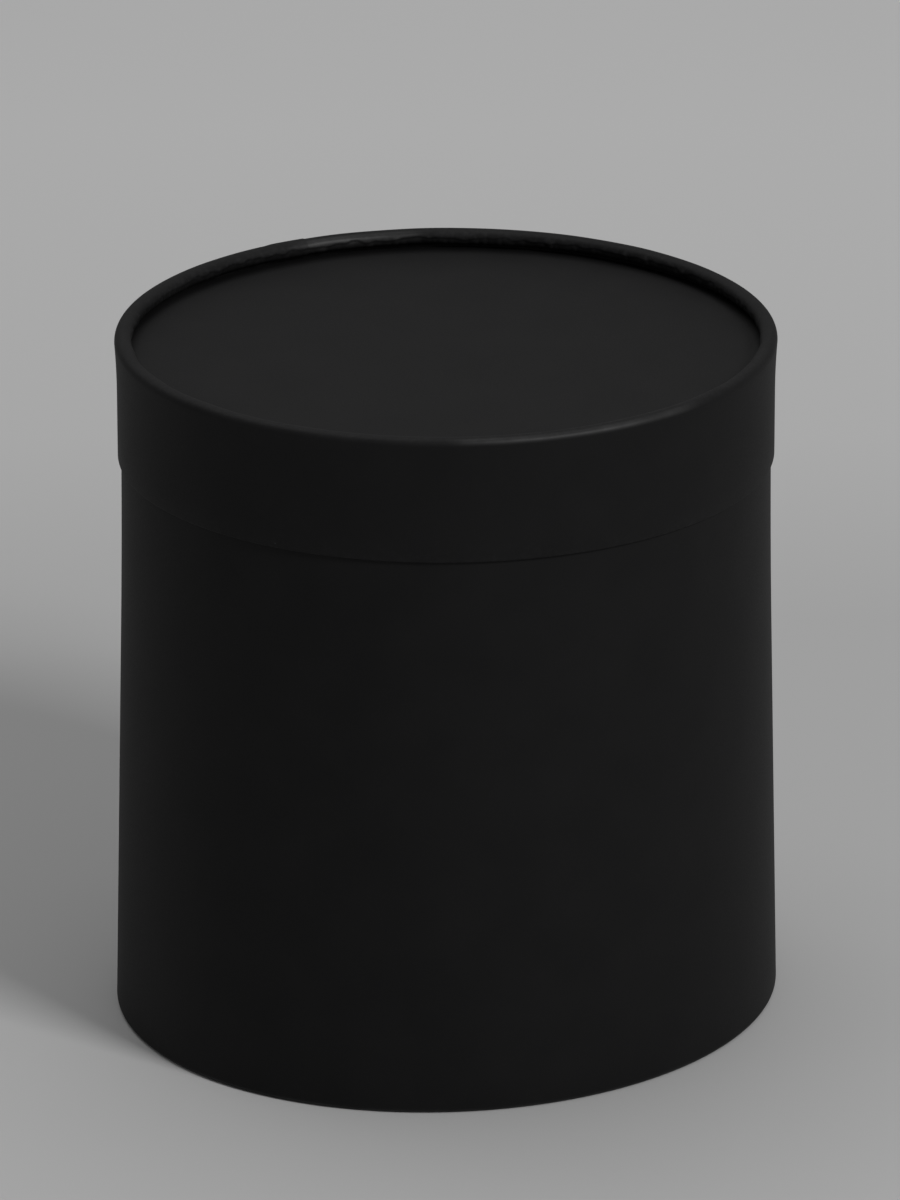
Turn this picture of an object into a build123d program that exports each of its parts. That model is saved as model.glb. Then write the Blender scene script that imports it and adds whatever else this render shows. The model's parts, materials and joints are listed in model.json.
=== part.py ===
# Cylindrical gift tube box: a paper-covered board tube with a lift-off lid that slips over it.
#
# The lid and the tube are made the same way. A thin board wall wears a black paper wrap outside and
# a lining paper inside. One end of the wall is rolled inwards over a board disc, and the lip of the
# roll bears on the disc. The lid's roll goes on in under itself, so it is a bead over a narrow neck.
# The lining's end bears on the disc's other side, so the disc is trapped. At the open end the wrap is
# turned in over the board's edge, and the lining starts where it stops.
#
# Millimetres. +Z is up, and the origin is at the middle of the foot, on the floor.
from build123d import *
import math
import os

# Overall sizes
overall_height = 160.0
lid_diameter = 149.0
lid_height = 29.0

# Paper and board
wrap_thickness = 0.15
wall_board_thickness = 0.4
lining_thickness = 0.15
disc_board_thickness = 1.2
face_paper_thickness = 0.15
board_edge_round_share = 0.3

# Fits, each a radial gap
lid_slip_clearance = 0.12
disc_edge_clearance = 0.03

# Rolled rim of the lid: the wall bulges a little before it rolls over the disc. The roll turns by so
# many degrees past its innermost point, and then bends back down the neck.
rim_roll_radius = 1.9
rim_under_turn = 85.0
rim_neck_radius = 0.4
rim_recess = 4.6
rim_bulge = 0.45
rim_bulge_length = 12.0
lid_turn_in = 8.0

# Tube: the wall is straight where the wrap is turned in, and then bends into a slight cone. The angle is
# in degrees from upright. Its rolled foot is pressed flat where it stands.
mouth_turn_in = 12.0
bend_below_turn_in = 1.0
bend_length = 50.0
cone_angle = 1.3
foot_roll_radius = 1.3
foot_flat_width = 0.8
foot_recess = 4.6

# Depths into the wall, measured from the outside of the wrap
board_depth = wrap_thickness
lining_depth = board_depth + wall_board_thickness
wall_depth = lining_depth + lining_thickness
turn_in_depth = lining_depth + wrap_thickness
board_edge_round = wall_board_thickness * board_edge_round_share
fold_round = wrap_thickness + board_edge_round

# Radii of the two walls, outside the wrap
lid_radius = lid_diameter / 2
lid_bore_radius = lid_radius - max(wall_depth, turn_in_depth)
tube_radius = lid_bore_radius - lid_slip_clearance

# Heights
disc_stack = disc_board_thickness + 2 * face_paper_thickness
lid_edge_z = overall_height - lid_height
lid_disc_top_z = overall_height - rim_recess
lid_disc_under_z = lid_disc_top_z - disc_stack
mouth_z = lid_disc_under_z
base_disc_under_z = foot_recess
base_disc_top_z = base_disc_under_z + disc_stack
turn_in_end_z = mouth_z - mouth_turn_in
bend_start_z = turn_in_end_z - bend_below_turn_in

# The bulge is an arc that leaves the straight wall tangentially. It ends where the roll starts, and the
# roll's centre lies on the same line from the arc's centre.
rim_turn = 2 * math.atan(rim_bulge / rim_bulge_length)
rim_reach = rim_bulge_length / math.sin(rim_turn)
rim_arc_radius = rim_reach - rim_roll_radius
bulge_start_z = overall_height - rim_roll_radius - rim_bulge_length
rim_arc_centre = (lid_radius + rim_arc_radius, bulge_start_z)
rim_roll_centre = (lid_radius + rim_bulge - rim_roll_radius, overall_height - rim_roll_radius)
rim_neck_reach = rim_roll_radius + rim_neck_radius
rim_neck_centre = (
    rim_roll_centre[0] - rim_neck_reach * math.cos(math.radians(rim_under_turn)),
    rim_roll_centre[1] - rim_neck_reach * math.sin(math.radians(rim_under_turn)),
)

# The bend leaves the straight wall tangentially too, and the cone runs on from it to the foot's roll
cone_turn = math.radians(cone_angle)
bend_radius = bend_length / math.sin(cone_turn)
bend_centre = (tube_radius + bend_radius, bend_start_z)


def cone_radius(depth, z):
    """Radius of the tube's cone at a depth into its wall and a height."""
    cone_reach = bend_radius + depth
    return bend_centre[0] - cone_reach / math.cos(cone_turn) + (bend_start_z - z) * math.tan(cone_turn)


foot_outer_centre = (cone_radius(foot_roll_radius, foot_roll_radius), foot_roll_radius)
foot_inner_centre = (foot_outer_centre[0] - foot_flat_width, foot_roll_radius)


def polar(centre, radius, degrees):
    """Point at an angle round a centre, in the (radius, height) plane."""
    angle = math.radians(degrees)
    return (centre[0] + radius * math.cos(angle), centre[1] + radius * math.sin(angle))


def line(start, end):
    return Edge.make_line((start[0], 0, start[1]), (end[0], 0, end[1]))


def arc(centre, radius, first, last):
    """Arc from one angle to another, in degrees, in the (radius, height) plane."""
    points = [polar(centre, radius, degrees) for degrees in (first, (first + last) / 2, last)]
    return Edge.make_three_point_arc(*[(r, 0, z) for r, z in points])


def turned(edges):
    """Solid of revolution about Z from a closed outline."""
    return Solid.revolve(Face(Wire(edges)), 360, Axis.Z)


def disc(radius, low_z, high_z):
    return Pos(0, 0, low_z) * Cylinder(radius, high_z - low_z, align=(Align.CENTER, Align.CENTER, Align.MIN))


def lid_wall_line(depth, low_z):
    """The lid's wall from a height up over the rim, in under it and down to the disc, and its last point."""
    turn = math.degrees(rim_turn)
    neck_radius = rim_neck_radius + depth
    lip_radius = rim_neck_centre[0] + neck_radius
    edges = [
        line((lid_radius - depth, low_z), (lid_radius - depth, bulge_start_z)),
        arc(rim_arc_centre, rim_arc_radius + depth, 180, 180 - turn),
        arc(rim_roll_centre, rim_roll_radius - depth, -turn, 180 + rim_under_turn),
        arc(rim_neck_centre, neck_radius, rim_under_turn, 0),
        line((lip_radius, rim_neck_centre[1]), (lip_radius, lid_disc_top_z)),
    ]
    return edges, (lip_radius, lid_disc_top_z)


def tube_side(depth, high_z, cone_end):
    """The tube's wall from a height down the straight part, the bend and the cone to a point."""
    return [
        line((tube_radius - depth, high_z), (tube_radius - depth, bend_start_z)),
        arc(bend_centre, bend_radius + depth, 180, 180 + cone_angle),
        line(polar(bend_centre, bend_radius + depth, 180 + cone_angle), cone_end),
    ]


def tube_wall_line(depth, high_z):
    """The tube's wall from a height down round the foot to the lip under the disc, and its last point."""
    roll_radius = foot_roll_radius - depth
    lip_radius = foot_inner_centre[0] - roll_radius
    edges = tube_side(depth, high_z, polar(foot_outer_centre, roll_radius, cone_angle)) + [
        arc(foot_outer_centre, roll_radius, cone_angle, -90),
        line((foot_outer_centre[0], depth), (foot_inner_centre[0], depth)),
        arc(foot_inner_centre, roll_radius, -90, -180),
        line((lip_radius, foot_inner_centre[1]), (lip_radius, base_disc_under_z)),
    ]
    return edges, (lip_radius, base_disc_under_z)


def edge_line(wall_radius, corner_z, up, wall_thickness, round_radius):
    """Rounded line across the wall's open edge, from its outside to its inside, and its last point.

    `up` is 1 at a lower edge and -1 at an upper one, and `corner_z` is the height of the rounds' centres.
    """
    outer_corner = (wall_radius - round_radius, corner_z)
    inner_corner = (wall_radius - wall_thickness + round_radius, corner_z)
    edge_z = corner_z - up * round_radius
    edges = [
        arc(outer_corner, round_radius, 0, -up * 90),
        line((outer_corner[0], edge_z), (inner_corner[0], edge_z)),
        arc(inner_corner, round_radius, -up * 90, -up * 180),
    ]
    return edges, (inner_corner[0] - round_radius, corner_z)


def wall_board(wall_line, wall_radius, edge_z, up):
    """Board wall with its rolled end, under the wrap. Its open edge is rounded."""
    corner_z = edge_z + up * fold_round
    outside, outer_lip = wall_line(board_depth, corner_z)
    inside, inner_lip = wall_line(lining_depth, corner_z)
    edge, _ = edge_line(wall_radius - board_depth, corner_z, up, wall_board_thickness, board_edge_round)
    return turned(outside + inside + edge + [line(outer_lip, inner_lip)])


def wrap(wall_line, wall_radius, edge_z, up, turn_in):
    """Black paper: outside the wall, over its roll, and folded in round its open edge."""
    corner_z = edge_z + up * fold_round
    end_z = edge_z + up * turn_in
    edges, lips, turn_in_ends = [], [], []
    for depth in (0, wrap_thickness):
        wall, lip = wall_line(depth, corner_z)
        folded_thickness = turn_in_depth - 2 * depth
        fold, fold_end = edge_line(wall_radius - depth, corner_z, up, folded_thickness, fold_round - depth)
        turn_in_end = (fold_end[0], end_z)
        edges += wall + fold + [line(fold_end, turn_in_end)]
        lips.append(lip)
        turn_in_ends.append(turn_in_end)
    return turned(edges + [line(*lips), line(*turn_in_ends)])


def bulge_radius(depth, z):
    """Radius of the lid's bulge at a depth into its wall and a height."""
    return rim_arc_centre[0] - math.sqrt((rim_arc_radius + depth) ** 2 - (z - rim_arc_centre[1]) ** 2)


def lid_lining_line(depth):
    """The lid's lining at a depth, from the wrap's turn-in up to the disc, and its two ends."""
    open_end = (lid_radius - depth, lid_edge_z + lid_turn_in)
    disc_end = (bulge_radius(depth, lid_disc_under_z), lid_disc_under_z)
    radius = rim_arc_radius + depth
    disc_angle = 180 - math.degrees(math.asin((lid_disc_under_z - rim_arc_centre[1]) / radius))
    edges = [
        line(open_end, (lid_radius - depth, rim_arc_centre[1])),
        arc(rim_arc_centre, radius, 180, disc_angle),
    ]
    return edges, open_end, disc_end


def tube_lining_line(depth):
    """The tube's lining at a depth, from the wrap's turn-in down to the disc, and its two ends."""
    open_end = (tube_radius - depth, turn_in_end_z)
    disc_end = (cone_radius(depth, base_disc_top_z), base_disc_top_z)
    return tube_side(depth, turn_in_end_z, disc_end), open_end, disc_end


def lining(lining_line):
    """Lining paper inside a wall, between its outer and its inner side."""
    outer, outer_open_end, outer_disc_end = lining_line(lining_depth)
    inner, inner_open_end, inner_disc_end = lining_line(wall_depth)
    ends = [line(outer_open_end, inner_open_end), line(outer_disc_end, inner_disc_end)]
    return turned(outer + inner + ends)


def disc_layers(radius, under_z):
    """Lower face paper, board and upper face paper of a disc, from below."""
    board_z = under_z + face_paper_thickness
    upper_z = board_z + disc_board_thickness
    return (
        disc(radius, under_z, board_z),
        disc(radius, board_z, upper_z),
        disc(radius, upper_z, upper_z + face_paper_thickness),
    )


def tube_parts():
    base_radius = cone_radius(lining_depth, base_disc_top_z) - disc_edge_clearance
    base_outer_face, base_disc_board, base_inner_face = disc_layers(base_radius, base_disc_under_z)
    return {
        "tube_outer_wrap": wrap(tube_wall_line, tube_radius, mouth_z, -1, mouth_turn_in),
        "tube_wall_board": wall_board(tube_wall_line, tube_radius, mouth_z, -1),
        "tube_lining": lining(tube_lining_line),
        "base_outer_face": base_outer_face,
        "base_disc_board": base_disc_board,
        "base_inner_face": base_inner_face,
    }


def lid_parts():
    top_radius = bulge_radius(lining_depth, lid_disc_under_z) - disc_edge_clearance
    lid_inner_face, lid_disc_board, lid_top_face = disc_layers(top_radius, lid_disc_under_z)
    return {
        "lid_outer_wrap": wrap(lid_wall_line, lid_radius, lid_edge_z, 1, lid_turn_in),
        "lid_wall_board": wall_board(lid_wall_line, lid_radius, lid_edge_z, 1),
        "lid_lining": lining(lid_lining_line),
        "lid_top_face": lid_top_face,
        "lid_disc_board": lid_disc_board,
        "lid_inner_face": lid_inner_face,
    }


os.makedirs("parts", exist_ok=True)
for name, solid in (tube_parts() | lid_parts()).items():
    export_step(solid, f"parts/{name}.step")
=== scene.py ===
# Cylindrical gift tube box in matt black paper: its papers and boards as they look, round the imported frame.
import json
import math

import bpy
import numpy as np
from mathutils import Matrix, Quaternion, Vector


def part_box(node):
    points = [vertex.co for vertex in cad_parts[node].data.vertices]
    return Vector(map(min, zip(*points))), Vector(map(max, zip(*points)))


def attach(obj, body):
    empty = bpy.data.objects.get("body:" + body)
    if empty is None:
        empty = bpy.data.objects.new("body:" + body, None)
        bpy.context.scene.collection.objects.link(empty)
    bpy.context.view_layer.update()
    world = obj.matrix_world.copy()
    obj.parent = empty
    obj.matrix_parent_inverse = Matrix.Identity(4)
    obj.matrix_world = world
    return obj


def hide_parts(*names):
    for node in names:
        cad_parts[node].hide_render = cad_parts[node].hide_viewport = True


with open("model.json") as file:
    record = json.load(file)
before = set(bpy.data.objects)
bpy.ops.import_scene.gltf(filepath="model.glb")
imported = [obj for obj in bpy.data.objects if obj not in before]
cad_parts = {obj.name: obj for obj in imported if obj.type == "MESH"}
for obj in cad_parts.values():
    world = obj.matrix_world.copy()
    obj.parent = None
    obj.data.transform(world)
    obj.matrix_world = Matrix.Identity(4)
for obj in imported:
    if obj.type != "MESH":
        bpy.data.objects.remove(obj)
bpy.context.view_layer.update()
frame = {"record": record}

mm = 0.001

# Paper and board, as in the frame
wrap_thickness = 0.15 * mm
wall_board_thickness = 0.4 * mm
lining_thickness = 0.15 * mm
board_edge_round = 0.12 * mm

# Depths into a wall, from the outside of its wrap
lining_depth = wrap_thickness + wall_board_thickness
wall_depth = lining_depth + lining_thickness
turn_in_depth = lining_depth + wrap_thickness
fold_round = wrap_thickness + board_edge_round

# Rolled rim of the lid and rolled foot of the tube, as in the frame
rim_roll_radius = 1.9 * mm
rim_under_turn = math.radians(85)
rim_neck_radius = 0.4 * mm
rim_bulge = 0.45 * mm
rim_bulge_length = 12.0 * mm
lid_turn_in = 8.0 * mm
foot_roll_radius = 1.3 * mm
foot_flat_width = 0.8 * mm

# The tube's wall is straight where the wrap is turned in, and then bends into a slight cone, as in the frame
mouth_turn_in = 12.0 * mm
bend_below_turn_in = 1.0 * mm
bend_length = 50.0 * mm
cone_turn = math.radians(1.3)

# Heights and radii from the frame's boxes
lid_edge_z, rim_top_z = (corner[2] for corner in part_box("lid_outer_wrap"))
mouth_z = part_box("tube_outer_wrap")[1][2]
lid_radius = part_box("lid_outer_wrap")[1][0] - rim_bulge
foot_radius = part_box("tube_outer_wrap")[1][0]
lid_disc_top_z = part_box("lid_top_face")[1][2]
lid_disc_under_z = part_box("lid_inner_face")[0][2]
base_disc_top_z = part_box("base_inner_face")[1][2]
base_disc_under_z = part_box("base_outer_face")[0][2]

# Wall arcs and rolls, drawn tangent to each other as in the frame
rim_roll_centre = (lid_radius + rim_bulge - rim_roll_radius, rim_top_z - rim_roll_radius)
rim_neck_reach = rim_roll_radius + rim_neck_radius
rim_neck_centre = (rim_roll_centre[0] - rim_neck_reach * math.cos(rim_under_turn),
                   rim_roll_centre[1] - rim_neck_reach * math.sin(rim_under_turn))
rim_turn = 2 * math.atan(rim_bulge / rim_bulge_length)
rim_arc_radius = rim_bulge_length / math.sin(rim_turn) - rim_roll_radius
rim_arc_centre = (lid_radius + rim_arc_radius, rim_roll_centre[1] - rim_bulge_length)
foot_outer_centre = (foot_radius - foot_roll_radius, foot_roll_radius)
foot_inner_centre = (foot_outer_centre[0] - foot_flat_width, foot_roll_radius)
turn_in_end_z = mouth_z - mouth_turn_in
bend_start_z = turn_in_end_z - bend_below_turn_in
bend_radius = bend_length / math.sin(cone_turn)
bend_centre = (
    foot_outer_centre[0] + (bend_radius + foot_roll_radius) / math.cos(cone_turn)
    - (bend_start_z - foot_roll_radius) * math.tan(cone_turn), bend_start_z)
tube_radius = bend_centre[0] - bend_radius

# The paper box is slightly oval, long from front left to back right, and more so towards its foot.
# Its reach along X and Y stays.
lid_oval = 0.004
foot_oval = 0.03

# Lap seams, counted from +X towards +Y: where each is, and how high the upper end of its paper lies
lid_seam, lid_lap_height = math.radians(117.0), 0.14 * mm
tube_seam, tube_lap_height = math.radians(128.0), 0.05 * mm
lining_seam, lining_lap_height = math.radians(236.0), 0.1 * mm
lap_width = 8.0 * mm
lap_fade = 2.5 * mm
cut_edge_width = 0.03 * mm

# Pleats that the paper takes where it is rolled inwards: the least share of the full height that one has,
# the spread of the rest, how far creases stray as a share of their pitch, and how a pleat leans and is
# rounded
pleat_count = 200
pleat_height = 0.38 * mm
least_pleat = 0.15
pleat_spread = (1.5, 2.2)
crease_stray = 0.36
pleat_lean = 0.6
pleat_rounding = 1.4

# Lumps of board under the paper, the paper's ledge inside the roll, the crest's dip, and the discs' dips
# with their count and their lengths in millimetres
lump_height = 0.08 * mm
ledge_height = 0.16 * mm
crest_dip = 0.06 * mm
crest_dip_variation = 0.5
disc_dip = 0.05 * mm
disc_dip_waves = 14
disc_dip_steepness = 0.1
disc_dip_lengths = (18, 70)

# Waves a turn, from and to, of the noise round the box that shapes the lumps, the crest's dip and the ledge
lump_waves = (6, 44)
crest_waves = (2, 26)
ledge_waves = (20, 120)

# Where round a roll the lumps, the ledge, the crest's dip and the glued lip set in, from and to, and over
# how much of a turn a pleat rises and the ledge ends. 0 is the roll's outside and a quarter turn its crest.
rim_lumps_start = np.radians((90, 190))
foot_lumps_start = np.radians((120, 190))
ledge_start = np.radians((105, 150))
crest_start = np.radians((20, 90))
glued_start = np.radians((205, 255))
pleat_run_in = math.radians(45)
ledge_run_out = math.radians(12)

# Degrees round a roll: where a pleat of no height would begin, how much sooner the highest one does and how
# far this strays, and where the ledge ends, how far this strays and by how much at most
pleat_begin, pleat_lead, pleat_begin_stray = 182, 30, 14
ledge_end_place, ledge_end_stray, ledge_end_most = 170, 6, 14

# Anything further past a disc than this isn't on the roll
disc_slack = 0.01 * mm

# Stretches of the rim that hands have polished, from and to, how softly they end, and the polish between them
polished_stretches = np.radians(((93, 123), (270, 320)))
polish_fade = math.radians(6)
least_polish = 0.08
lap_polish_loss = 0.55

# Places round the rim's roll where polish starts and ends, and its outer and inner shoulder, which take most
polish_start = np.radians((0, 25))
polish_end = np.radians((195, 225))
outer_shoulder_end = np.radians((45, 75))
inner_shoulder_start = np.radians((100, 140))

# Pale colour on the crest, partly wear and partly painted highlight, painted highlight on the creases inside
# the rim, and wear on open edges
crest_wear_and_highlight = 0.3
crest_wear_and_highlight_below_top = 0.2 * mm
crease_painted_highlight = 0.8
crease_painted_highlight_start = np.radians((110, 150))
crease_painted_highlight_end = np.radians((168, 182))
edge_wear_height = 0.4 * mm
foot_wear_above_floor = 0.2 * mm

# Seeds of the random shapes
rim_seed, foot_seed = 11, 31
lid_top_seed, lid_ceiling_seed, base_floor_seed, base_under_seed = 51, 52, 53, 54

# Columns round the box, and steps along a wall's line: fine where it shows and coarse where it is hidden
lid_columns = 1440
tube_columns = 720
hidden_columns = 480
disc_columns = 240
disc_rings = 30
shown_fold_steps, hidden_fold_steps = 4, 2
lid_shown_steps = dict(wall=3, bulge=7, roll=44, neck=4, lip=2)
lid_hidden_steps = dict(wall=1, bulge=3, roll=10, neck=3, lip=1)
tube_shown_steps = dict(wall=3, curve=12, roll=7, lip=4)
tube_hidden_steps = dict(wall=1, curve=5, roll=4, lip=1)
lining_arc_steps = 8
lining_cone_steps = 4
sharp_turn = math.radians(35)

# Noises of the materials: how large their features are, how detailed and how swirled
black_mottle = dict(size=14 * mm, detail=4)
black_grain = dict(size=0.35 * mm, detail=5, distortion=0.6)
# Patches that break up the pale wear and painted highlight
wear_and_highlight_patches = dict(size=1.2 * mm, detail=6)
gloss_patches = dict(size=9 * mm, detail=3)
lining_clouds = dict(size=9 * mm, detail=5)
lining_fibres = dict(size=0.6 * mm, detail=6, distortion=3.0)
lining_grain = dict(size=0.3 * mm, detail=5, distortion=0.4)
board_clouds = dict(size=6 * mm, detail=3)
board_flecks = dict(size=0.8 * mm, detail=8, distortion=2.0)

# Bumps that the grain makes on each material
black_bump = dict(depth=0.02 * mm, strength=0.4)
lining_bump = dict(depth=0.02 * mm, strength=0.35)
board_bump = dict(depth=0.04 * mm, strength=0.5)

# How rough each surface is and how strongly it reflects
folded_finish = dict(roughness=0.67, specular_level=0.186)
flat_finish = dict(roughness=0.63, specular_level=0.152)
lining_finish = dict(roughness=0.8, specular_level=0.3)
board_finish = dict(roughness=0.9, specular_level=0.25)
floor_finish = dict(roughness=0.9, specular_level=0.1)
coat_roughness = 0.5

# How far roughness varies over the black paper, each way, and its range on the lining and the board
black_roughness_stray = 0.05
lining_roughness = (0.74, 0.86)
board_roughness = (0.84, 0.95)

# The range that holds most of a noise, all of a share, and the parts of a noise that show as pale wear and
# painted highlight, gloss, fibres and flecks, with the shares that they are carried to
most_noise = (0.3, 0.7)
full_range = (0, 1)
wear_and_highlight_noise, wear_and_highlight_share = (0.45, 0.7), (0, 0.6)
gloss_noise, gloss_share = (0.35, 0.65), (0.28, 0.55)
fibre_noise, fibre_share = (0.66, 0.74), (0, 0.35)
fleck_noise, board_cloud_share = (0.35, 0.65), (0.2, 0.7)

# Specks of dust: the cells that may hold one, its soft edge as shares of a cell, and the step in a cell's
# random number past which it does hold one
speck_pitch = 9 * mm
speck_edge = (0.012, 0.022)
speck_step = (0.72, 0.73)

# Shades of the black paper: its deep and its light mottling, the pale colour of its wear and painted
# highlight, and the dust on it
deep_black = (0.0032, 0.0032, 0.0034, 1)
light_black = (0.0046, 0.0045, 0.0047, 1)
pale_wear_and_highlight = (0.02, 0.02, 0.021, 1)
dust_grey = (0.06, 0.06, 0.065, 1)

# Shades of the lining's clouds and fibres and of the board's flecks, as shares of their slot's colour
cloud_shade, fibre_shade = 0.9, 0.6
dark_fleck_shade, light_fleck_shade = 0.6, 1.3

# Camera of the photograph, far off with a long lens
camera_lens = 290
camera_elevation = math.radians(20.45)
camera_distance = 2.207
camera_roll = math.radians(-0.1)
camera_aim = Vector((0.81, 0, 94.6)) * mm
camera_reach = 100

# Light: a soft lamp at the front right, a wide one overhead, and an even fill. Each level is what the
# lamp adds on level ground, where 1 shows white as white.
fill_level = 0.24
key_lamp = dict(level=0.34, azimuth=math.radians(45), elevation=math.radians(39), distance=3.0, size=0.75)
top_lamp = dict(level=0.33, azimuth=math.radians(200), elevation=math.radians(70), distance=2.6, size=2.4)
floor_reach = 40.0

# Tone of the floor at distances along +Y, with painted light: lighter in front of the box, darker just behind
# it, and lighter further back, painted where the studio's paper sweeps up behind the box
floor_painted_light_tones = (
    (-0.2, 0.485), (-0.05, 0.475), (0.05, 0.44), (0.24, 0.435), (0.31, 0.47), (0.38, 0.505), (0.65, 0.55))


def straight(start, end, steps):
    """Points from one (radius, height) place towards another, without the last."""
    share = np.linspace(0, 1, steps, endpoint=False)[:, None]
    return np.array(start) * (1 - share) + np.array(end) * share


def bend(centre, radius, first, last, steps):
    """Points round an arc, without the last."""
    angle = np.linspace(first, last, steps, endpoint=False)
    return np.stack([centre[0] + radius * np.cos(angle), centre[1] + radius * np.sin(angle)], 1)


def lid_line(depth, low_z, wall, bulge, roll, neck, lip):
    """The lid's wall at a depth, from a height up over the rim, in under it and down the lip to the disc."""
    neck_radius = rim_neck_radius + depth
    lip_radius = rim_neck_centre[0] + neck_radius
    return np.concatenate([
        straight((lid_radius - depth, low_z), (lid_radius - depth, rim_arc_centre[1]), wall),
        bend(rim_arc_centre, rim_arc_radius + depth, math.pi, math.pi - rim_turn, bulge),
        bend(rim_roll_centre, rim_roll_radius - depth, -rim_turn, math.pi + rim_under_turn, roll),
        bend(rim_neck_centre, neck_radius, rim_under_turn, 0, neck),
        straight((lip_radius, rim_neck_centre[1]), (lip_radius, lid_disc_top_z), lip),
        [(lip_radius, lid_disc_top_z)],
    ])


def cone_radius(depth, z):
    """Radius of the tube's cone at a depth into its wall and a height."""
    at_bend_start = bend_centre[0] - (bend_radius + depth) / math.cos(cone_turn)
    return at_bend_start + (bend_start_z - z) * math.tan(cone_turn)


def tube_side(depth, cone_end, high_z, cone, curve, wall):
    """The tube's wall at a depth, from a point on the cone up the bend and the straight part to a height."""
    upright = tube_radius - depth
    cone_top_z = bend_start_z - (bend_radius + depth) * math.sin(cone_turn)
    return np.concatenate([
        straight(cone_end, (cone_radius(depth, cone_top_z), cone_top_z), cone),
        bend(bend_centre, bend_radius + depth, math.pi + cone_turn, math.pi, curve),
        straight((upright, bend_start_z), (upright, high_z), wall),
        [(upright, high_z)],
    ])


def tube_line(depth, high_z, wall, curve, roll, lip):
    """The tube's wall at a depth, from the lip under the base disc round the foot and up to a height."""
    roll_radius = foot_roll_radius - depth
    lip_radius = foot_inner_centre[0] - roll_radius
    cone_foot = (foot_outer_centre[0] + roll_radius * math.cos(cone_turn),
                 foot_outer_centre[1] + roll_radius * math.sin(cone_turn))
    return np.concatenate([
        straight((lip_radius, base_disc_under_z), (lip_radius, foot_roll_radius), lip),
        bend(foot_inner_centre, roll_radius, -math.pi, -math.pi / 2, roll),
        straight((foot_inner_centre[0], depth), (foot_outer_centre[0], depth), 2),
        bend(foot_outer_centre, roll_radius, -math.pi / 2, cone_turn, roll),
        tube_side(depth, cone_foot, high_z, curve, curve, wall),
    ])


def edge_line(wall_radius, corner_z, up, thickness, radius, steps):
    """Rounded line across a wall's open edge, from its outside. `up` is 1 at a lower edge, -1 at an upper."""
    outer = (wall_radius - radius, corner_z)
    inner = (wall_radius - thickness + radius, corner_z)
    edge_z = corner_z - up * radius
    return np.concatenate([
        bend(outer, radius, 0, -up * math.pi / 2, steps),
        straight((outer[0], edge_z), (inner[0], edge_z), 2),
        bend(inner, radius, -up * math.pi / 2, -up * math.pi, steps),
        [(inner[0] - radius, corner_z)],
    ])


def lid_lining_line(depth):
    """The lid's lining at a depth, from the wrap's turn-in up to the disc."""
    upright = lid_radius - depth
    radius = rim_arc_radius + depth
    turn = math.asin((lid_disc_under_z - rim_arc_centre[1]) / radius)
    return np.concatenate([
        straight((upright, lid_edge_z + lid_turn_in), (upright, rim_arc_centre[1]), 2),
        bend(rim_arc_centre, radius, math.pi, math.pi - turn, lining_arc_steps),
        bend(rim_arc_centre, radius, math.pi - turn, math.pi, 1),
    ])


def tube_lining_line(depth):
    """The tube's lining at a depth, from the disc up to the wrap's turn-in."""
    cone_end = (cone_radius(depth, base_disc_top_z), base_disc_top_z)
    return tube_side(depth, cone_end, turn_in_end_z, lining_cone_steps, lining_arc_steps, 1)


def smooth(value, low, high):
    """Soft step from 0 at one value to 1 at another."""
    share = np.clip((value - low) / (high - low), 0, 1)
    return share * share * (3 - 2 * share)


def waves(angle, low, high, seed):
    """Smooth closed noise round the box, of about unit spread, with from `low` to `high` waves a turn."""
    random = np.random.default_rng(seed)
    counts = np.arange(low, high + 1)
    sizes = random.normal(size=len(counts))
    phases = random.uniform(0, 2 * math.pi, len(counts))
    return np.cos(np.multiply.outer(angle, counts) + phases) @ sizes / math.sqrt((sizes**2).sum() / 2)


def pleats(angle, seed):
    """Height of the pleat at an angle, from 0 in a crease to 1, and where round the roll it begins."""
    random = np.random.default_rng(seed)
    pitch = 2 * math.pi / pleat_count
    creases = (np.arange(pleat_count) + random.uniform(-crease_stray, crease_stray, pleat_count)) * pitch
    heights = least_pleat + (1 - least_pleat) * random.beta(*pleat_spread, pleat_count)
    stray = random.uniform(-pleat_begin_stray, pleat_begin_stray, pleat_count)
    starts = np.radians(pleat_begin - pleat_lead * heights + stray)
    turn = np.mod(angle - creases[0], 2 * math.pi) + creases[0]
    pleat = np.searchsorted(creases, turn, side="right") - 1
    ends = np.append(creases[1:], creases[0] + 2 * math.pi)
    share = (turn - creases[pleat]) / (ends[pleat] - creases[pleat])
    return heights[pleat] * (1 - np.abs(2 * share**pleat_lean - 1) ** pleat_rounding), starts[pleat]


def round_roll(radius, height, centre, up, disc_z):
    """Angle round a roll: 0 at its outside, a quarter turn on its crest, and more than half down its lip."""
    angle = np.arctan2(up * (height - centre[1]), radius - centre[0])
    angle = np.where(angle < -math.pi / 2, angle + 2 * math.pi, angle)
    return np.where(up * (height - disc_z) < -disc_slack, 0, angle)


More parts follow.
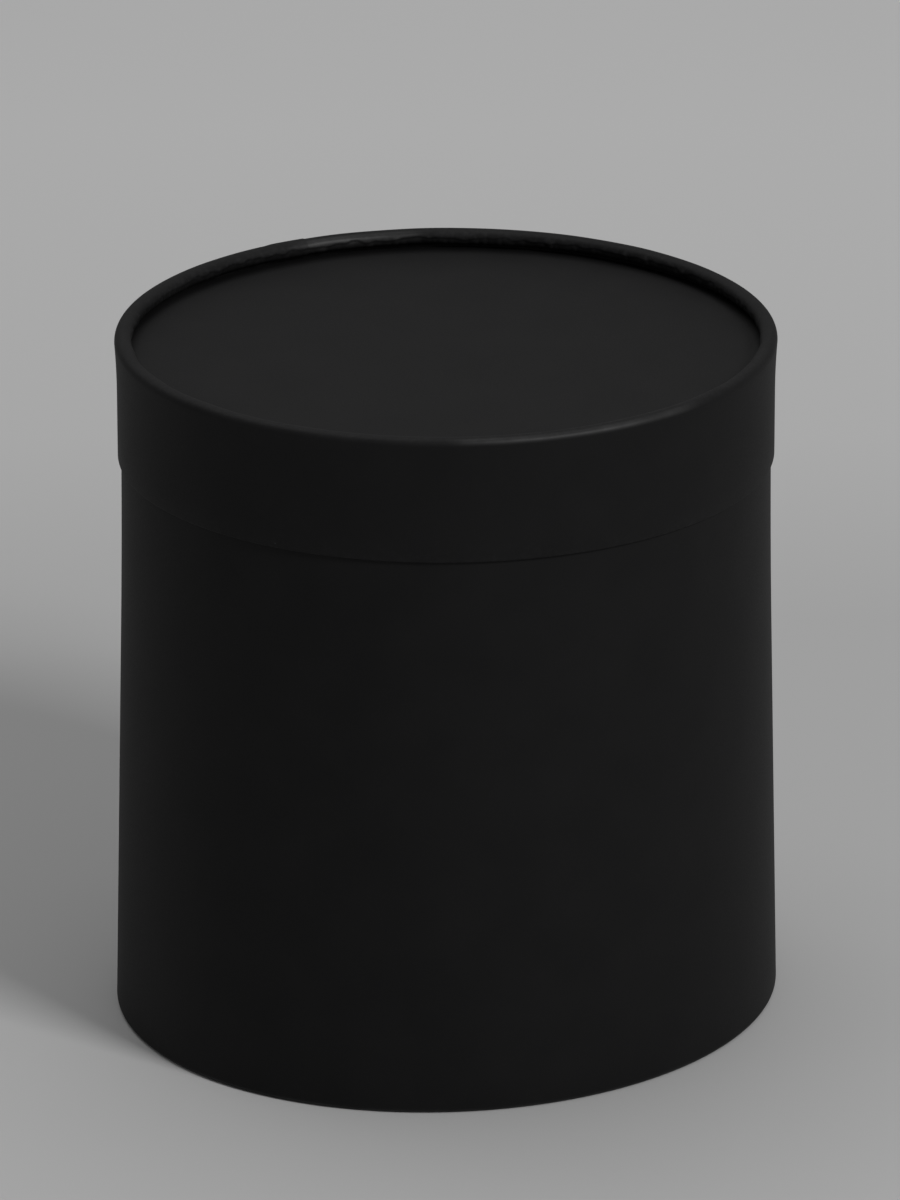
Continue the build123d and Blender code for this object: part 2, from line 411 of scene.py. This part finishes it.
def roll_relief(angle, seed, centre, up, disc_z, drop, pleated):
    """Relief of a rolled end: how far each point is pulled towards the axis, and how far down."""
    rise, start = pleats(angle, seed)
    lumps = lump_height * waves(angle, *lump_waves, seed + 1)
    dip = crest_dip * np.clip(1 + crest_dip_variation * waves(angle, *crest_waves, seed + 2), 0, 2)
    stray = np.clip(ledge_end_stray * waves(angle, *ledge_waves, seed + 3), -ledge_end_most, ledge_end_most)
    ledge_end = np.radians(ledge_end_place + stray)
    lumps_start = rim_lumps_start if up > 0 else foot_lumps_start

    def relief(radius, height):
        place = round_roll(radius, height, centre, up, disc_z)
        swell = lumps * smooth(place, *lumps_start)
        if pleated:
            swell = swell + pleat_height * rise * smooth(place, start, start + pleat_run_in)
            ledge = ledge_height * smooth(place, *ledge_start)
            swell = swell + ledge * (1 - smooth(place, ledge_end, ledge_end + ledge_run_out))
        loose = 1 - smooth(place, *glued_start)
        crest = smooth(place, *crest_start) * (up > 0)
        return -swell * loose * np.cos(place), ((dip + drop) * crest - up * swell * np.sin(place)) * loose

    return relief


def lap(angle, seam, radius, height):
    """How far the wrap is raised where its upper end lies over its lower one, past the seam."""
    along = np.mod(angle - seam, 2 * math.pi) * radius
    return height * (1 - smooth(along, lap_width, lap_width + lap_fade))


def columns_from(seam, count, radius):
    """Angles round the box from a seam. The last is the width of a cut edge before the first."""
    return seam + np.linspace(0, 2 * math.pi - cut_edge_width / radius, count)


def plain_columns(count):
    """Angles round the box, evenly apart."""
    return np.linspace(0, 2 * math.pi, count, endpoint=False)


def out_of_round(points):
    """Points of a round box moved to where they lie on the oval one."""
    x, y, z = points.T
    oval = np.interp(z, (0, lid_edge_z), (foot_oval, lid_oval))
    scale = 1 / np.sqrt(1 + oval**2)
    return np.stack([(x + oval * y) * scale, (y + oval * x) * scale, z], 1)


def add_piece(name, points, faces, marks=()):
    """Smooth mesh object from an array of points and arrays of faces, one array for each count of corners.

    `marks` are pairs of an attribute's name and its value at each point.
    """
    mesh = bpy.data.meshes.new(name)
    mesh.vertices.add(len(points))
    mesh.vertices.foreach_set("co", out_of_round(points).astype(np.float32).ravel())
    corners = np.concatenate([group.ravel() for group in faces])
    counts = np.concatenate([np.full(len(group), group.shape[1]) for group in faces])
    starts = np.cumsum(counts) - counts
    mesh.loops.add(len(corners))
    mesh.loops.foreach_set("vertex_index", corners.astype(np.int32))
    mesh.polygons.add(len(counts))
    mesh.polygons.foreach_set("loop_start", starts.astype(np.int32))
    mesh.polygons.foreach_set("use_smooth", np.ones(len(counts), bool))
    mesh.update(calc_edges=True)
    mesh.set_sharp_from_angle(angle=sharp_turn)
    for mark, values in marks:
        mesh.attributes.new(mark, "FLOAT", "POINT").data.foreach_set("value", values.astype(np.float32))
    piece = bpy.data.objects.new(name, mesh)
    bpy.context.scene.collection.objects.link(piece)
    return piece


def turned(name, outside, inside, angles, relief=None, lift=None, marks=()):
    """Closed wall or paper between two lines of (radius, height) points, turned about Z.

    `relief` moves both sides towards the axis and down, `lift` raises the outside along its normal at
    each angle, and `marks` are pairs of an attribute's name and its value at each point of the outside.
    """
    section = np.concatenate([outside, inside[::-1]])
    ahead = np.roll(section, -1, 0) - np.roll(section, 1, 0)
    normal = np.stack([ahead[:, 1], -ahead[:, 0]], 1) / np.linalg.norm(ahead, axis=1)[:, None]
    is_outside = (np.arange(len(section)) < len(outside))[:, None]
    radius, height = section[:, :1], section[:, 1:]
    shape = (len(section), len(angles))
    pull, drop = (0, 0) if relief is None else relief(radius, height)
    raised = 0 if lift is None else np.where(is_outside, lift, 0)
    radius = np.broadcast_to(radius - pull + raised * normal[:, :1], shape)
    height = np.broadcast_to(height - drop + raised * normal[:, 1:], shape)
    points = np.stack([radius * np.cos(angles), radius * np.sin(angles), height], -1).reshape(-1, 3)
    row, column = np.indices(shape)
    next_row, next_column = (row + 1) % shape[0], (column + 1) % shape[1]
    corners = [row * shape[1] + column, row * shape[1] + next_column,
               next_row * shape[1] + next_column, next_row * shape[1] + column]
    quads = np.stack([corner.ravel() for corner in corners], 1)
    shown = (len(outside), len(angles))
    hidden = np.zeros((len(inside), len(angles)))
    marks = [(mark, np.concatenate([np.broadcast_to(values, shown), hidden]).ravel())
             for mark, values in marks]
    return add_piece(name, points, [quads], marks)


def sheet_dip(x, y, seed):
    """Smooth dips of a glued paper, from 0 to about 1."""
    random = np.random.default_rng(seed)
    total = np.zeros_like(x)
    for _ in range(disc_dip_waves):
        wave_length = random.uniform(*disc_dip_lengths) * mm
        heading = random.uniform(0, 2 * math.pi)
        along = x * math.cos(heading) + y * math.sin(heading)
        total += np.cos(2 * math.pi * along / wave_length + random.uniform(0, 2 * math.pi))
    return np.clip(0.5 + total * disc_dip_steepness, 0, 1)


def disc(name, node, shown_side, seed=0):
    """A disc's board or face paper. Its shown side, 1 above and -1 below, dips a little; 0 is none."""
    low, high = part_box(node)
    rings = disc_rings if shown_side else 2
    radii = high[0] * np.linspace(0, 1, rings + 1)[1:]
    angles = plain_columns(disc_columns)
    x = np.concatenate([[0], np.outer(radii, np.cos(angles)).ravel()])
    y = np.concatenate([[0], np.outer(radii, np.sin(angles)).ravel()])
    dip = disc_dip * sheet_dip(x, y, seed)
    sides = []
    for side, z in ((1, high[2]), (-1, low[2])):
        sides.append(np.stack([x, y, z - side * dip * (side == shown_side)], 1))
    points = np.concatenate(sides)
    count = len(x)
    here = np.arange(disc_columns)
    beside = (here + 1) % disc_columns
    fan = np.stack([np.zeros_like(here), 1 + here, 1 + beside], 1)
    ring = (1 + np.arange(rings - 1) * disc_columns)[:, None]
    outer_ring = ring + disc_columns
    bands = np.stack([ring + here, outer_ring + here, outer_ring + beside, ring + beside], -1).reshape(-1, 4)
    rim = 1 + (rings - 1) * disc_columns
    edge = np.stack([count + rim + here, count + rim + beside, rim + beside, rim + here], 1)
    quads = np.concatenate([bands, count + bands[:, ::-1], edge])
    return add_piece(name, points, [quads, np.concatenate([fan, count + fan[:, ::-1]])])


# Lid

def lid_wrap_marks(outside, angles, raised):
    """How much pale wear and painted highlight, and how much polish, the lid's wrap has at each point of its
    outside.
    """
    height = outside[:, 1:]
    place = round_roll(outside[:, :1], height, rim_roll_centre, 1, lid_disc_top_z)
    # The crest is made pale partly for wear and partly as painted highlight, and the creases inside the roll
    # only as painted highlight, where light falls on them.
    crest = crest_wear_and_highlight * smooth(height, rim_roll_centre[1], rim_top_z - crest_wear_and_highlight_below_top)
    edge = 1 - smooth(height, lid_edge_z, lid_edge_z + edge_wear_height)
    creases = crease_painted_highlight * smooth(place, *crease_painted_highlight_start) * (1 - smooth(place, *crease_painted_highlight_end))
    turn = np.mod(angles, 2 * math.pi)
    patch_share = sum(smooth(turn, first, first + polish_fade) * (1 - smooth(turn, last - polish_fade, last))
                 for first, last in polished_stretches)
    shoulder = np.maximum(1 - smooth(place, *outer_shoulder_end), smooth(place, *inner_shoulder_start))
    polish = smooth(place, *polish_start) * (1 - smooth(place, *polish_end)) * shoulder
    polish = polish * (least_polish + (1 - least_polish) * patch_share)
    polish = polish * (1 - lap_polish_loss * raised / lid_lap_height)
    return [("wear_and_painted_highlight", np.maximum(np.maximum(crest, edge), creases)), ("polish", polish)]


def lid_wrap():
    """Black paper of the lid: turned in under its lower edge, up the wall, over the rim and down the lip."""
    corner_z = lid_edge_z + fold_round
    turn_in_z = lid_edge_z + lid_turn_in

    def side(depth, fold_steps, steps):
        fold = edge_line(
            lid_radius - depth, corner_z, 1, turn_in_depth - 2 * depth, fold_round - depth, fold_steps)[::-1]
        turn_in = straight((fold[0][0], turn_in_z), fold[0], 2)
        return np.concatenate([turn_in, fold[:-1], lid_line(depth, corner_z, **steps)])

    outside = side(0, shown_fold_steps, lid_shown_steps)
    inside = side(wrap_thickness, hidden_fold_steps, lid_hidden_steps)
    angles = columns_from(lid_seam, lid_columns, lid_radius)
    relief = roll_relief(angles, rim_seed, rim_roll_centre, 1, lid_disc_top_z, lid_lap_height, True)
    raised = lap(angles, lid_seam, lid_radius, lid_lap_height)
    in_bore = (outside[:, 0] < lid_radius - lining_depth) & (outside[:, 1] < lid_disc_under_z)
    lift = np.concatenate([np.where(in_bore[:, None], 0, raised), np.zeros((len(inside), len(angles)))])
    marks = lid_wrap_marks(outside, angles, raised)
    return turned("lid_black_wrap", outside, inside, angles, relief, lift, marks)


def lid_wall():
    """Board of the lid's wall, from its rounded lower edge up over the rim and down the lip."""
    corner_z = lid_edge_z + fold_round
    edge = edge_line(
        lid_radius - wrap_thickness, corner_z, 1, wall_board_thickness, board_edge_round, hidden_fold_steps)
    outside = lid_line(wrap_thickness, corner_z, **lid_hidden_steps)
    inside = np.concatenate([edge[1:-1], lid_line(lining_depth, corner_z, **lid_hidden_steps)])
    angles = plain_columns(hidden_columns)
    relief = roll_relief(angles, rim_seed, rim_roll_centre, 1, lid_disc_top_z, lid_lap_height, False)
    return turned("lid_wall", outside, inside, angles, relief)


def lid_lining():
    """Lining paper of the lid's wall."""
    hidden, shown = lid_lining_line(lining_depth), lid_lining_line(wall_depth)
    return turned("lid_wall_lining", hidden, shown, plain_columns(hidden_columns))


# Tube

def tube_wrap():
    """Black paper of the tube: up the foot's lip, round the foot, up the wall and turned in at the mouth."""
    corner_z = mouth_z - fold_round

    def side(depth, fold_steps, steps):
        fold = edge_line(
            tube_radius - depth, corner_z, -1, turn_in_depth - 2 * depth, fold_round - depth, fold_steps)
        turn_in_end = (fold[-1][0], turn_in_end_z)
        return np.concatenate([tube_line(depth, corner_z, **steps), fold[1:], [turn_in_end]])

    outside = side(0, shown_fold_steps, tube_shown_steps)
    inside = side(wrap_thickness, hidden_fold_steps, tube_hidden_steps)
    angles = columns_from(tube_seam, tube_columns, tube_radius)
    foot = 1 - smooth(outside[:, 1:], foot_wear_above_floor, foot_roll_radius)
    mouth = smooth(outside[:, 1:], mouth_z - edge_wear_height, mouth_z)
    relief = roll_relief(angles, foot_seed, foot_inner_centre, -1, base_disc_under_z, 0, True)
    raised = lap(angles, tube_seam, tube_radius, tube_lap_height)
    on_wall = smooth(outside[:, 1], 0, foot_roll_radius)[:, None]
    lift = np.concatenate([raised * on_wall, np.zeros((len(inside), len(angles)))])
    marks = [("wear_and_painted_highlight", np.maximum(foot, mouth)), ("polish", foot)]
    return turned("tube_black_wrap", outside, inside, angles, relief, lift, marks)


def tube_wall():
    """Board of the tube's wall, from the lip round the foot and up to its rounded upper edge."""
    corner_z = mouth_z - fold_round
    edge = edge_line(
        tube_radius - wrap_thickness, corner_z, -1, wall_board_thickness, board_edge_round, hidden_fold_steps)
    outside = np.concatenate([tube_line(wrap_thickness, corner_z, **tube_hidden_steps), edge[1:-1]])
    inside = tube_line(lining_depth, corner_z, **tube_hidden_steps)
    angles = plain_columns(hidden_columns)
    relief = roll_relief(angles, foot_seed, foot_inner_centre, -1, base_disc_under_z, 0, False)
    return turned("tube_wall", outside, inside, angles, relief)


def tube_lining():
    """Lining paper of the tube's wall, with its own lap seam."""
    hidden, shown = tube_lining_line(lining_depth)[::-1], tube_lining_line(wall_depth)[::-1]
    angles = columns_from(lining_seam, hidden_columns, tube_radius)
    raised = lap(angles, lining_seam, tube_radius, lining_lap_height)
    return turned("tube_wall_lining", shown, hidden, angles, lift=raised)


# Materials

def new_material(name, roughness, specular_level):
    """Material with its shader, its places in the object, and a function that adds a node to it."""
    material = bpy.data.materials.new(name)
    material.use_nodes = True
    tree = material.node_tree
    shader = tree.nodes["Principled BSDF"]
    shader.inputs["Specular IOR Level"].default_value = specular_level
    shader.inputs["Roughness"].default_value = roughness

    def add(kind, inputs, **settings):
        node = tree.nodes.new(kind)
        for setting, value in settings.items():
            setattr(node, setting, value)
        for socket, value in inputs.items():
            if isinstance(value, bpy.types.NodeSocket):
                tree.links.new(value, node.inputs[socket])
            else:
                node.inputs[socket].default_value = value
        return node

    place = add("ShaderNodeTexCoord", {}).outputs["Object"]
    return material, shader, place, add


def noise(add, place, size, detail, distortion=0.0):
    """Noise whose features are about a size across."""
    node = add("ShaderNodeTexNoise",
               {"Vector": place, "Scale": 1 / size, "Detail": detail, "Distortion": distortion})
    return node.outputs["Fac"]


def mesh_mark(add, name):
    """Value that the mesh holds at each point."""
    return add("ShaderNodeAttribute", {}, attribute_name=name).outputs["Fac"]


def ranged(add, value, source, target):
    """Value carried from one range, low and high, to another."""
    node = add("ShaderNodeMapRange", {
        "Value": value, "From Min": source[0], "From Max": source[1],
        "To Min": target[0], "To Max": target[1]})
    return node.outputs["Result"]


def product(add, first, second):
    """One value times another."""
    return add("ShaderNodeMath", {0: first, 1: second}, operation="MULTIPLY").outputs[0]


def mixed(add, share, first, second):
    """Colour that goes from the first to the second by a share."""
    return add("ShaderNodeMixRGB", {"Fac": share, "Color1": first, "Color2": second}).outputs["Color"]


def shade(colour, share):
    """A colour made lighter or darker by a share, and no lighter than white."""
    return (*(min(1, part * share) for part in colour), 1)


def link(shader, socket, value):
    """Gives a socket of the shader a value that varies over the surface."""
    shader.id_data.links.new(value, shader.inputs[socket])


def link_bump(add, shader, height, depth, strength):
    """Gives the shader a bump from a height between 0 and 1."""
    bump = add("ShaderNodeBump", {"Height": height, "Distance": depth, "Strength": strength})
    link(shader, "Normal", bump.outputs["Normal"])


def wear_highlight_and_coat(add, shader, place, colour):
    """A colour made pale by wear and by painted highlight where the mesh is marked, and a soft coat on the
    shader where it is marked polished.
    """
    patch_share = ranged(add, noise(add, place, **wear_and_highlight_patches), wear_and_highlight_noise, wear_and_highlight_share)
    gloss = ranged(add, noise(add, place, **gloss_patches), gloss_noise, gloss_share)
    link(shader, "Coat Weight", product(add, mesh_mark(add, "polish"), gloss))
    shader.inputs["Coat Roughness"].default_value = coat_roughness
    # Paler where marked: wear on open edges, wear and painted highlight on the crest, painted highlight on
    # the creases inside the roll
    return mixed(add, product(add, mesh_mark(add, "wear_and_painted_highlight"), patch_share), colour, pale_wear_and_highlight)


def dusted(add, place, colour):
    """A colour with a few specks of dust."""
    specks = add("ShaderNodeTexVoronoi", {"Vector": place, "Scale": 1 / speck_pitch})
    near = ranged(add, specks.outputs["Distance"], speck_edge, (1, 0))
    chosen = ranged(add, specks.outputs["Color"], speck_step, full_range)
    return mixed(add, product(add, near, chosen), colour, dust_grey)


def black_paper(name, roughness, specular_level, folded):
    """Matt black dyed paper: felt-like grain, faint mottling, a few specks of dust, and folds made pale by
    wear and painted highlight.
    """
    material, shader, place, add = new_material(name, roughness, specular_level)
    mottle = noise(add, place, **black_mottle)
    grain = noise(add, place, **black_grain)
    roughness_range = (roughness - black_roughness_stray, roughness + black_roughness_stray)
    colour = mixed(add, ranged(add, mottle, most_noise, full_range), deep_black, light_black)
    if folded:
        colour = wear_highlight_and_coat(add, shader, place, colour)
    link(shader, "Base Color", dusted(add, place, colour))
    link(shader, "Roughness", ranged(add, grain, most_noise, roughness_range))
    link_bump(add, shader, grain, **black_bump)
    return material


def lining_paper(name, colour):
    """Uncoated lining paper: cloudy, with short darker fibres."""
    material, shader, place, add = new_material(name, **lining_finish)
    fibres = noise(add, place, **lining_fibres)
    clouds = ranged(add, noise(add, place, **lining_clouds), most_noise, full_range)
    tone = mixed(add, clouds, shade(colour, 1), shade(colour, cloud_shade))
    tone = mixed(add, ranged(add, fibres, fibre_noise, fibre_share), tone, shade(colour, fibre_shade))
    link(shader, "Base Color", tone)
    link(shader, "Roughness", ranged(add, fibres, most_noise, lining_roughness))
    link_bump(add, shader, noise(add, place, **lining_grain), **lining_bump)
    return material


def grey_board(name, colour):
    """Recycled board: coarse fibres with light and dark flecks."""
    material, shader, place, add = new_material(name, **board_finish)
    flecks = noise(add, place, **board_flecks)
    clouds = ranged(add, noise(add, place, **board_clouds), most_noise, board_cloud_share)
    tone = mixed(add, ranged(add, flecks, fleck_noise, full_range),
                 shade(colour, dark_fleck_shade), shade(colour, light_fleck_shade))
    link(shader, "Base Color", mixed(add, clouds, tone, shade(colour, 1)))
    link(shader, "Roughness", ranged(add, flecks, most_noise, board_roughness))
    link_bump(add, shader, flecks, **board_bump)
    return material


def floor_material():
    """Pale paper floor with painted light: lighter in front of the box, darker just behind it, and lighter
    again towards the back.
    """
    material, shader, place, add = new_material("studio_floor", **floor_finish)
    back = add("ShaderNodeSeparateXYZ", {"Vector": place}).outputs["Y"]
    near, far = floor_painted_light_tones[0][0], floor_painted_light_tones[-1][0]
    ramp = add("ShaderNodeValToRGB", {"Fac": ranged(add, back, (near, far), full_range)})
    stops = ramp.color_ramp.elements
    for index, (distance, tone) in enumerate(floor_painted_light_tones):
        share = (distance - near) / (far - near)
        stop = stops[index] if index < 2 else stops.new(share)
        stop.position, stop.color = share, (tone, tone, tone, 1)
    link(shader, "Base Color", ramp.outputs["Color"])
    return material


# Floor, light and camera

def add_floor():
    """Level floor, far wider than the view, that isn't part of the object."""
    mesh = bpy.data.meshes.new("studio_floor")
    half = floor_reach / 2
    corners = [(-half, -half, 0), (half, -half, 0), (half, half, 0), (-half, half, 0)]
    mesh.from_pydata(corners, [], [(0, 1, 2, 3)])
    floor = bpy.data.objects.new("studio_floor", mesh)
    bpy.context.scene.collection.objects.link(floor)
    mesh.materials.append(floor_material())


def light_world():
    """Even light from all round."""
    world = bpy.data.worlds.new("studio_fill")
    bpy.context.scene.world = world
    world.use_nodes = True
    background = world.node_tree.nodes["Background"]
    background.inputs["Color"].default_value = (fill_level, fill_level, fill_level, 1)
    background.inputs["Strength"].default_value = 1


def add_lamp(name, level, azimuth, elevation, distance, size):
    """Square lamp, turned to the box, that lights level ground by a level.

    Its azimuth is 0 at the camera's side and turns to +X.
    """
    away = Vector((math.sin(azimuth) * math.cos(elevation),
                   -math.cos(azimuth) * math.cos(elevation), math.sin(elevation)))
    lamp = bpy.data.lights.new(name, "AREA")
    lamp.size = size
    lamp.energy = level * math.pi**2 * distance**2 / math.sin(elevation)
    holder = bpy.data.objects.new(name, lamp)
    holder.location = camera_aim + away * distance
    holder.rotation_euler = away.to_track_quat("Z", "Y").to_euler()
    bpy.context.scene.collection.objects.link(holder)


def add_camera():
    """Camera at the photograph's viewing angle."""
    away = Vector((0, -math.cos(camera_elevation), math.sin(camera_elevation)))
    lens = bpy.data.cameras.new("photo_camera")
    lens.lens = camera_lens
    lens.clip_end = camera_reach
    camera = bpy.data.objects.new("photo_camera", lens)
    camera.location = camera_aim + away * camera_distance
    camera.rotation_euler = (away.to_track_quat("Z", "Y") @ Quaternion((0, 0, 1), camera_roll)).to_euler()
    bpy.context.scene.collection.objects.link(camera)
    bpy.context.scene.camera = camera


def finish_piece(piece, body, node, material):
    """Puts a piece on its body and in its node's place and material."""
    piece.data.materials.append(material)
    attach(piece, body)
    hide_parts(node)


def finish_disc(name, body, node, material, shown_side, seed=0):
    """Makes a disc's board or paper and puts it in its place."""
    finish_piece(disc(name, node, shown_side, seed), body, node, material)


slot_colours = {row["slot"]: row["base_color"] for row in frame["record"]["materials"]}
folded_black = black_paper("black_wrap_paper", **folded_finish, folded=True)
flat_black = black_paper("black_face_paper", **flat_finish, folded=False)
board = grey_board("grey_board", slot_colours["grey_board"])
lining = lining_paper("lining_paper", slot_colours["lining_paper"])

finish_piece(lid_wrap(), "lid", "lid_outer_wrap", folded_black)
finish_piece(lid_wall(), "lid", "lid_wall_board", board)
finish_piece(lid_lining(), "lid", "lid_lining", lining)
finish_disc("lid_top_paper", "lid", "lid_top_face", flat_black, 1, lid_top_seed)
finish_disc("lid_disc", "lid", "lid_disc_board", board, 0)
finish_disc("lid_ceiling_paper", "lid", "lid_inner_face", lining, -1, lid_ceiling_seed)
finish_piece(tube_wrap(), "tube", "tube_outer_wrap", folded_black)
finish_piece(tube_wall(), "tube", "tube_wall_board", board)
finish_piece(tube_lining(), "tube", "tube_lining", lining)
finish_disc("base_floor_paper", "tube", "base_inner_face", lining, 1, base_floor_seed)
finish_disc("base_disc", "tube", "base_disc_board", board, 0)
finish_disc("base_under_paper", "tube", "base_outer_face", flat_black, -1, base_under_seed)

add_floor()
light_world()
add_lamp("key_lamp", **key_lamp)
add_lamp("top_lamp", **top_lamp)
add_camera()
bpy.context.scene.view_settings.view_transform = "Standard"
